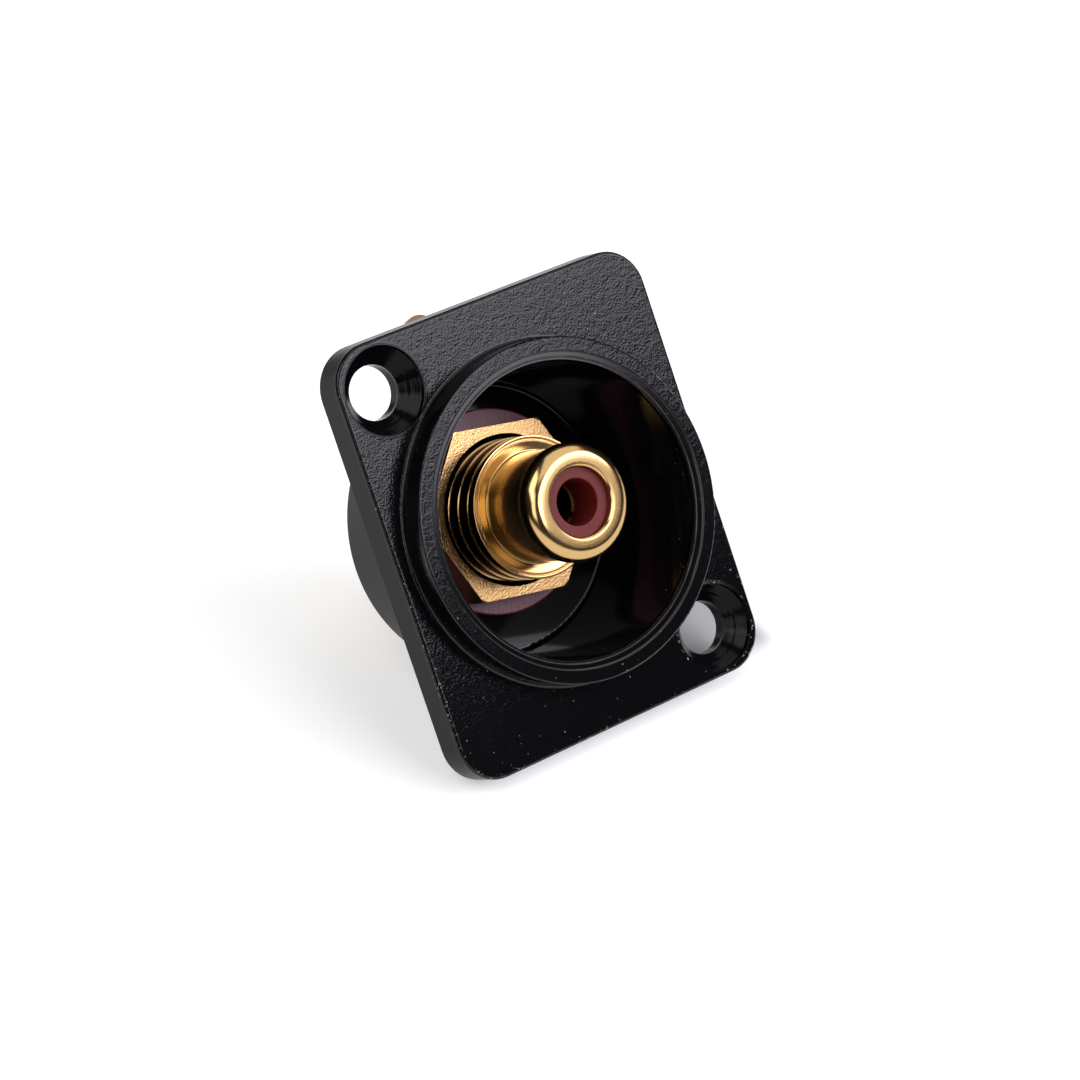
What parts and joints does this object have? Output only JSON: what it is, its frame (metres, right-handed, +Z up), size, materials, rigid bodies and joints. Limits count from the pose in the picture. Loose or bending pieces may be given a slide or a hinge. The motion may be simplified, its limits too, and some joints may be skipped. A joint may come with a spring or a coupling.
{
  "type": "rca panel socket",
  "caption": "Panel-mount phono socket: a beaded coaxial nose nutted into the floor of a cast cup, with a rectangular screw flange and rear solder tags.",
  "frame": {"origin": "on the barrel's axis, in the plane of the flange's rear face, midway between the screw holes", "axes": "-Y out of the front, +Y back through the panel, +Z up, X along the flange's width"},
  "size_m": [0.026, 0.0245, 0.031],
  "materials": {
    "black_casting": "black coat over a die casting, fine grain on the front faces and satin on the sides",
    "gold_plating": "bright gold plating over turned brass",
    "lug_plating": "thin gold plating over pressed brass",
    "red_insulator": "moulded, satin",
    "red_washer": "moulded, with fine parallel lines on its face"
  },
  "bodies": {
    "root": {"housing": "black_casting", "front_washer": "red_washer", "rear_washer": "red_washer", "hex_nut": "gold_plating", "jack_body": "gold_plating", "centre_contact": "gold_plating", "solder_lug": "lug_plating", "front_dielectric": "red_insulator", "rear_insulator": "red_insulator"}
  },
  "joints": []
}
